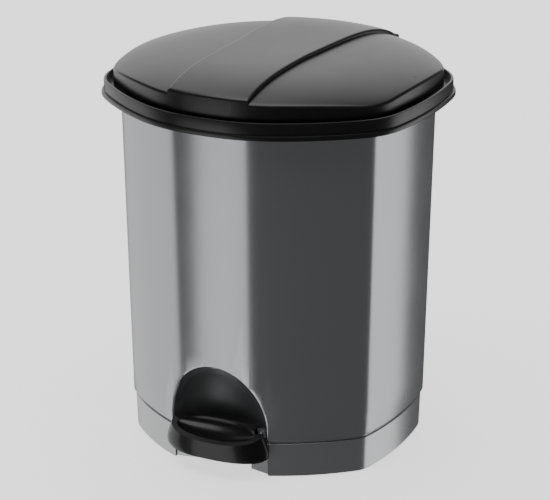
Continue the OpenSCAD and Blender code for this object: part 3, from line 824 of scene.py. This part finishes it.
@dataclass
class Lid:
    """The domed lid with its raised centre band and hinge hood. Sizes in mm."""

    material: bpy.types.Material
    skirt: float = 8.0
    low: float = 351.0
    crown: float = 385.5
    fall: float = 14.0
    fall_r: float = 147.0
    power: float = 4.5
    wall: float = 2.5
    edge_r: float = 2.2
    ridge_h: float = 4.0
    ridge_edge: float = 2.2
    hood_z: float = 368.0
    hood_y: float = 127.5
    front_half: float = 41.5
    bend_y: float = -25.0
    back_half: float = 52.0
    hood_back: float = 158.0
    rings: int = 18
    edge_steps: int = 6
    barrel_x: tuple[float, float] = (8.0, 38.0)
    web_half: float = 3.0
    boss_r: float = 4.5
    screw_r: float = 1.7
    screw_h: float = 10.0
    crank_bosses: tuple[tuple[float, float, float], ...] = ((-14.0, 128.0, 362.0), (14.0, 128.0, 362.0))
    bumper_bosses: tuple[tuple[float, float, float], ...] = (
        (0.0, -139.0, 352.55), (142.5, 0.0, 352.55), (-142.5, 0.0, 352.55),
    )
    ridge_grid: tuple[int, int] = (28, 80)
    ridge_sharp: float = math.radians(50)

    def dome(self, raise_by: float = 0.0) -> Callable[[Vector], float]:
        """Returns the dome's height over a plan point, raised by a distance."""
        return lambda spot: self.crown + raise_by - self.fall * (spot.length / self.fall_r) ** self.power

    def shares(self, outer: float) -> list[float]:
        """Returns the growths of the dome's rings, from near the middle to the outer one."""
        whole = PLAN.half_w + outer
        return [whole * (i / self.rings) ** 0.8 - PLAN.half_w for i in range(1, self.rings + 1)]

    def build_cap(self) -> bpy.types.Object:
        """Builds the domed cap with its rounded shoulder.

        Returns:
            The cap.
        """
        top = self.dome()
        r = self.edge_r
        stations: list[Station] = [(g, top) for g in self.shares(self.skirt - r)]
        for i in range(1, self.edge_steps + 1):
            a = math.pi / 2 * i / self.edge_steps
            drop = r * (1 - math.cos(a))
            stations.append((self.skirt - r * (1 - math.sin(a)), lambda s, d=drop: top(s) - d))
        stations += [(self.skirt, self.low + 0.5), (self.skirt - 0.5, self.low)]
        return finish_mesh(stack(stations, plan=RIM_PLAN), "lid_dome")

    def build_hollow(self) -> bpy.types.Object:
        """Builds the room under the dome.

        Returns:
            The room as one solid.
        """
        inner = self.skirt - self.wall
        stations: list[Station] = [(g, self.dome(-self.wall)) for g in self.shares(inner)]
        stations.append((inner, self.low - 1))
        return finish_mesh(stack(stations, plan=RIM_PLAN), "lid_room")

    def half_width(self, y: float) -> float:
        """Returns the centre band's half width at a distance behind the middle."""
        share = max(0.0, (y - self.bend_y) / (self.hood_back - 40 - self.bend_y))
        return min(self.front_half + (self.back_half - 1 - self.front_half) * share, self.back_half)

    def front_y(self, x: float, inset: float) -> float:
        """Returns the skirt's front at a distance to the right of the middle, in mm."""
        skirt = [p for p in RIM_PLAN.points(self.skirt + 0.03 - inset) if p.y < 0]
        skirt.sort(key=lambda p: p.x)
        for a, b in zip(skirt, skirt[1:]):
            if a.x <= x <= b.x and b.x > a.x:
                return a.y + (b.y - a.y) * (x - a.x) / (b.x - a.x)
        return skirt[0].y

    def build_ridge(self, inset: float = 0.0) -> bpy.types.Object:
        """Builds the raised centre band, which ends in the hood over the hinge, or the room in it.

        Args:
            inset: How far the faces lie inside the band's own, in mm; the room is deeper too.

        Returns:
            The band as one solid.
        """
        work = bmesh.new()
        across, along = self.ridge_grid
        bmesh.ops.create_grid(work, x_segments=across, y_segments=along, size=1.0)
        height = self.dome(self.ridge_h - inset)
        back, hood = self.hood_back - inset, self.hood_z - inset
        for vert in work.verts:
            u, v = vert.co.x, (vert.co.y + 1) / 2
            front = self.front_y(u * (self.front_half - inset), inset)
            y = front + (back - front) * v
            x = u * (self.half_width(y) - inset)
            z = height(Vector((x, y)))
            vert.co = mm(x, y, max(z, hood) if y > self.hood_y else z)
        made = bmesh.ops.extrude_face_region(work, geom=list(work.faces))["geom"]
        floor = [g for g in made if isinstance(g, bmesh.types.BMVert)]
        for vert in floor:
            vert.co.z = (self.low + (-2.0 if inset else 0.1)) * MM
        bmesh.ops.recalc_face_normals(work, faces=work.faces)
        if inset:
            return finish_mesh(work, "ridge_room")
        rim = [
            e for e in work.edges
            if len(e.link_faces) == 2 and e.calc_face_angle(0.0) > self.ridge_sharp
            and min(v.co.z for v in e.verts) > (self.low + 4) * MM
            and abs(e.verts[0].co.z - e.verts[1].co.z) < 8 * MM
        ]
        bevel(work, rim, self.ridge_edge)
        return finish_mesh(work, "ridge")

    def build_mounts(self) -> bpy.types.Object:
        """Builds the hinge barrels with their webs and the bosses under the dome.

        Returns:
            The mounts as one solid, cut to the lid's outside.
        """
        near, far = self.barrel_x
        front, back, top = HINGE.y - self.web_half, HINGE.y + self.web_half, self.crown
        mounts = block((near, front, HINGE.z), (far, back, top))
        combine(mounts, block((-far, front, HINGE.z), (-near, back, top)), "UNION")
        for x, y, low in self.crank_bosses + self.bumper_bosses:
            combine(mounts, rod(self.boss_r, Vector((x, y, low)), Vector((x, y, top))), "UNION")
        combine(mounts, combine(self.build_cap(), self.build_ridge(), "UNION"), "INTERSECT")
        for side in SIDES:
            combine(mounts, HINGE.barrel(side * near, side * far), "UNION")
        return mounts

    def build(self) -> bpy.types.Object:
        """Builds the lid as one solid.

        Returns:
            The lid.
        """
        lid = combine(self.build_cap(), self.build_ridge(), "UNION")
        combine(lid, self.build_hollow(), "DIFFERENCE")
        combine(lid, self.build_ridge(self.wall), "DIFFERENCE")
        combine(lid, self.build_mounts(), "UNION")
        combine(lid, HINGE.bore(2 * self.barrel_x[1]), "DIFFERENCE")
        for x, y, low in self.crank_bosses:
            hole = rod(self.screw_r, Vector((x, y, low - 1)), Vector((x, y, low + self.screw_h)))
            combine(lid, hole, "DIFFERENCE")
        return lid

    def dressed(self) -> None:
        """Builds and dresses the lid."""
        lid = self.build()
        shade(lid.data)
        dress(lid, self.material, Slot.BLACK, Body.LID, "lid_shell")


# ---- pedal ----


@dataclass
class Pedal:
    """The foot pedal: a sloped pad with flared ends, a thin lip and a hollow top. Sizes in mm."""

    material: bpy.types.Material
    half_w: float = 54.0
    reach: float = 146.0
    side_y: float = 126.0
    back_y: float = 116.7
    low: float = 19.0
    back_z: float = 50.0
    front_z: float = 36.0
    flare: float = 8.0
    wing_x: float = 43.0
    wing_y: float = 127.1
    neck_half: float = 22.0
    neck_back: float = 101.7
    neck_top: float = 38.0
    neck_root: float = 4.0
    steps: int = 40
    edge_r: float = 0.7
    edge_angle: float = 38.0
    arch_powers: tuple[float, float] = (2.6, 0.6)
    cuts: tuple[float, ...] = (1.2, 2.6, 5.0, 9.0, 13.0)
    lean_from: float = 8.0
    lean_power: float = 1.3
    tuck: float = 4.0
    tuck_h: float = 5.0
    dish_size: tuple[float, float, float] = (43.0, 14.0, 9.0)
    dish_drop: float = 4.0
    lever_half: float = 12.1
    lever_front: float = -134.4
    lever_top: float = 26.0

    def front(self, x: float) -> float:
        """Returns the front edge's place at a distance from the middle: a squared-off arch."""
        share = min(abs(x) / self.half_w, 1.0)
        inner, outer = self.arch_powers
        return -self.side_y - (self.reach - self.side_y) * (1 - share**inner) ** outer

    def plan(self) -> list[tuple[float, float]]:
        """Returns the pad's plan, anticlockwise from its left end."""
        turns = [math.pi * (i / self.steps - 0.5) for i in range(self.steps + 1)]
        arch = [(self.half_w * math.sin(a), self.front(self.half_w * math.sin(a))) for a in turns]
        right = [
            (self.half_w, -self.wing_y + 3), (self.wing_x + 2, -self.wing_y), (self.wing_x, -self.back_y),
        ]
        return arch + right + [(-x, y) for x, y in reversed(right)]

    def top_z(self, y: float) -> float:
        """Returns the sloped top's height at a place in mm."""
        slope = (self.back_z - self.front_z) / (self.reach - self.back_y)
        return min(self.back_z, self.back_z + slope * (y + self.back_y))

    def lean(self, z: float) -> float:
        """Returns how far the pad's ends lean in at a height, as a share of its half width."""
        start = self.low + self.lean_from
        rise = max(0.0, (z - start) / (self.back_z - start))
        under = max(0.0, 1 - (z - self.low) / self.tuck_h)
        return 1 - (self.flare * rise**self.lean_power + self.tuck * under**2) / self.half_w

    def build_dish(self) -> bpy.types.Object:
        """Builds the flattened ball that hollows the pad's top.

        Returns:
            The ball as one solid.
        """
        work = bmesh.new()
        slope = math.atan2(self.back_z - self.front_z, self.reach - self.back_y)
        middle = mm(0, 1 - (self.reach + self.back_y) / 2, self.back_z - self.dish_drop)
        size = Matrix.Diagonal((*[r * MM for r in self.dish_size], 1.0))
        place = Matrix.Translation(middle) @ Matrix.Rotation(slope, 4, "X") @ size
        bmesh.ops.create_uvsphere(work, u_segments=96, v_segments=48, radius=1.0, matrix=place)
        return finish_mesh(work, "dish")

    def build(self) -> bpy.types.Object:
        """Builds the pad.

        Returns:
            The pad as one solid.
        """
        pad = flat_prism(self.plan(), self.low, self.back_z, "pedal_pad")
        work = bmesh.new()
        work.from_mesh(pad.data)
        for level in self.cuts:
            bmesh.ops.bisect_plane(
                work, geom=list(work.verts) + list(work.edges) + list(work.faces),
                plane_co=mm(0, 0, self.low + level), plane_no=(0, 0, 1),
            )
        for vert in work.verts:
            if vert.co.z > (self.low + self.cuts[-1] + 1) * MM:
                vert.co.z = self.top_z(vert.co.y / MM) * MM
        for vert in work.verts:
            vert.co.x *= self.lean(vert.co.z / MM)
        bmesh.ops.recalc_face_normals(work, faces=work.faces)
        work.to_mesh(pad.data)
        work.free()
        combine(pad, self.build_dish(), "DIFFERENCE")
        half, front = self.neck_half, -self.back_y - self.neck_root
        combine(pad, block((-half, front, self.low), (half, -self.neck_back, self.neck_top)), "UNION")
        half, front = self.lever_half, self.lever_front
        combine(pad, block((-half, front, self.low - 1), (half, 0, self.lever_top)), "DIFFERENCE")
        return pad

    def dressed(self) -> None:
        """Builds and dresses the pad."""
        pad = self.build()
        round_edges(pad, self.edge_r, self.edge_angle)
        shade(pad.data)
        dress(pad, self.material, Slot.BLACK, Body.PEDAL, "pedal_pad")


# ---- the CAD nodes that keep their shape ----


@dataclass
class CadDress:
    """Gives the CAD nodes that stay their finishes."""

    nodes: dict[str, bpy.types.Object]
    finishes: dict[str, bpy.types.Material] = field(default_factory=dict)

    def dressed(self) -> None:
        """Puts each node's finish into its material slots."""
        for name, material in self.finishes.items():
            node = self.nodes[name]
            if not node.material_slots:
                node.data.materials.append(material)
            for place in node.material_slots:
                place.material = material
            LOG.info("%s: %s", name, material.name)


# ---- studio ----


@dataclass
class Softbox:
    """A soft rectangular light. Sizes and places in metres, angles in degrees."""

    name: str
    azimuth: float
    distance: float
    height: float
    width: float
    tall: float
    power: float
    aim_z: float = 0.2

    def build(self) -> bpy.types.Object:
        """Builds the light, aimed at the bin.

        Returns:
            The light.
        """
        lamp = bpy.data.lights.new(self.name, "AREA")
        lamp.shape = "RECTANGLE"
        lamp.size = self.width
        lamp.size_y = self.tall
        lamp.energy = self.power
        light = bpy.data.objects.new(self.name, lamp)
        turn = math.radians(self.azimuth)
        place = Vector((math.sin(turn) * self.distance, -math.cos(turn) * self.distance, self.height))
        light.location = place
        aim = Vector((0, 0, self.aim_z)) - place
        light.rotation_euler = aim.to_track_quat("-Z", "Y").to_euler()
        light.visible_camera = False
        bpy.context.scene.collection.objects.link(light)
        return light


@dataclass
class Studio:
    """The camera, the pale floor and the soft lights."""

    camera_place: tuple[float, float, float] = (1.1466, -2.2180, 1.0735)
    heading: float = 27.417
    pitch: float = 19.638
    lens: float = 179.1
    sensor: float = 36.0
    world_strength: float = 0.09
    floor_size: float = 14.0
    floor_colour: str = "#f6f6f6"
    floor_roughness: float = 0.9
    floor_glow: float = 1.25
    softboxes: tuple[Softbox, ...] = (
        Softbox("left", -90, 1.2, -0.2, 1.4, 1.4, 5.0),
        Softbox("front_left", -19, 1.2, -0.3, 0.72, 1.3, 2.9),
        Softbox("right", 129, 1.3, -0.2, 0.9, 1.4, 4.6),
        Softbox("back", 212, 2.2, 1.3, 3.2, 3.4, 30, 0.38),
        Softbox("under", -27, 0.6, -0.75, 0.9, 0.7, 0.7, 0.08),
        Softbox("top", 0, 0.4, 2.4, 2.4, 2.4, 34, 0.2),
    )

    def build(self) -> None:
        """Builds the whole studio."""
        lens = bpy.data.cameras.new("camera")
        lens.lens = self.lens
        lens.sensor_width = self.sensor
        camera = bpy.data.objects.new("camera", lens)
        camera.location = self.camera_place
        camera.rotation_euler = (math.radians(90 - self.pitch), 0.0, math.radians(self.heading))
        bpy.context.scene.collection.objects.link(camera)
        bpy.context.scene.camera = camera
        self.build_floor()
        for softbox in self.softboxes:
            softbox.build()
        world = bpy.data.worlds.new("studio")
        world.use_nodes = True
        sky = world.node_tree.nodes["Background"]
        sky.inputs["Color"].default_value = linear("#ffffff")
        sky.inputs["Strength"].default_value = self.world_strength
        bpy.context.scene.world = world

    def build_floor(self) -> None:
        """Builds the pale floor, which mirrors nothing into the metal."""
        work = bmesh.new()
        bmesh.ops.create_grid(work, x_segments=1, y_segments=1, size=self.floor_size)
        floor = finish_mesh(work, "floor")
        paper = bpy.data.materials.new("matt_white_paper")
        paper.use_nodes = True
        shader = paper.node_tree.nodes["Principled BSDF"]
        shader.inputs["Base Color"].default_value = linear(self.floor_colour)
        shader.inputs["Roughness"].default_value = self.floor_roughness
        shader.inputs["Emission Color"].default_value = linear("#ffffff")
        shader.inputs["Emission Strength"].default_value = self.floor_glow
        floor.data.materials.append(paper)
        floor.visible_glossy = False
        floor.visible_shadow = False
        floor.visible_diffuse = False


def main() -> None:
    """Builds the studio and dresses the bin."""
    logging.basicConfig(level=logging.INFO, format="%(message)s")
    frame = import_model()
    silver, satin, gloss = SILVER_LACQUER.build(), SATIN_ABS.build(), GLOSS_ABS.build()
    grey, steel, rubber = GREY_PP.build(), ZINC_STEEL.build(), BLACK_RUBBER.build()
    BinBody(silver).dressed()
    Rim(satin).dressed()
    Lid(satin).dressed()
    Pedal(gloss).dressed()
    finishes = {name: steel for name in frame["nodes"]}
    for name in ("rod_guide_lower", "rod_guide_upper", "inner_bucket", "rod_foot", "bail_grip"):
        finishes[name] = grey
    for name in ("rubber_feet", "lid_bumpers"):
        finishes[name] = rubber
    for name in ("outer_shell", "base_ring", "collar_ring", "lid_shell", "pedal_pad"):
        finishes.pop(name)
    CadDress(frame["nodes"], finishes).dressed()
    Studio().build()


if __name__ == "__main__":
    main()
